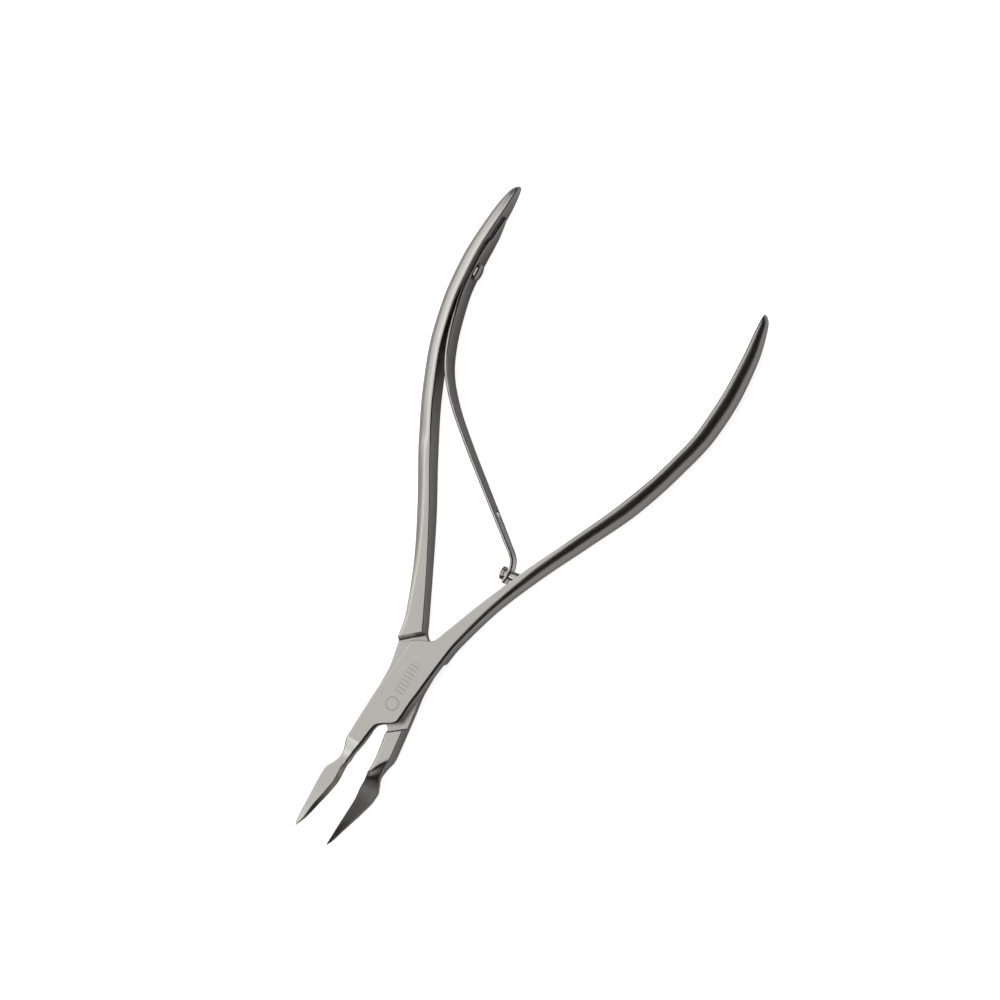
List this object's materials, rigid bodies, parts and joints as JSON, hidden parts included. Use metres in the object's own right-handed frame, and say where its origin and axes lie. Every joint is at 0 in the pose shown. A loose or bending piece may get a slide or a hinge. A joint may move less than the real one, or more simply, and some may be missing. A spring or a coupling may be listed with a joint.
{
  "type": "nail splitting pliers",
  "caption": "Slender stainless lap-joint nail splitting pliers with pointed blades, bowed handles and a forked leaf spring.",
  "frame": {"origin": "centre of the bounding box's footprint, on the plane that the handles lie on", "axes": "+Y from the handles towards the jaw tips, +Z out of the front face, parallel to the pivot, +X towards the sprung handle"},
  "size_m": [0.0616, 0.1282, 0.0066],
  "materials": {
    "satin_steel": "satin ground stainless steel",
    "satin_steel_front": "satin ground stainless steel",
    "screw_steel": "turned stainless steel",
    "spring_steel": "rolled and tempered spring steel",
    "bright_steel": "turned stainless steel",
    "stud_steel": "turned stainless steel with a knurled rim"
  },
  "bodies": {
    "back_half": {"lower_arm": "satin_steel", "spring_screw": "bright_steel"},
    "front_half": {"upper_arm": "satin_steel_front", "pivot_screw": "screw_steel", "spring_stud": "stud_steel"},
    "spring": {"leaf_spring": "spring_steel"}
  },
  "joints": [
    {"name": "jaw_pivot", "type": "hinge", "parent": "back_half", "child": "front_half", "pos_m": [-0.0033, 0.0302, 0.0033], "axis": [0, 0, 1], "range_deg": [0, 10.7], "stiffness_Nm_per_rad": 0.4},
    {"name": "spring_flex", "type": "hinge", "parent": "back_half", "child": "spring", "pos_m": [-0.0061, -0.0298, 0.0033], "axis": [0, 0, 1], "range_deg": [-9.2, 0], "deforming": ["leaf_spring"]}
  ],
  "couplings": [
    {"joint": "spring_flex", "follows": "jaw_pivot", "ratio": -0.84}
  ]
}
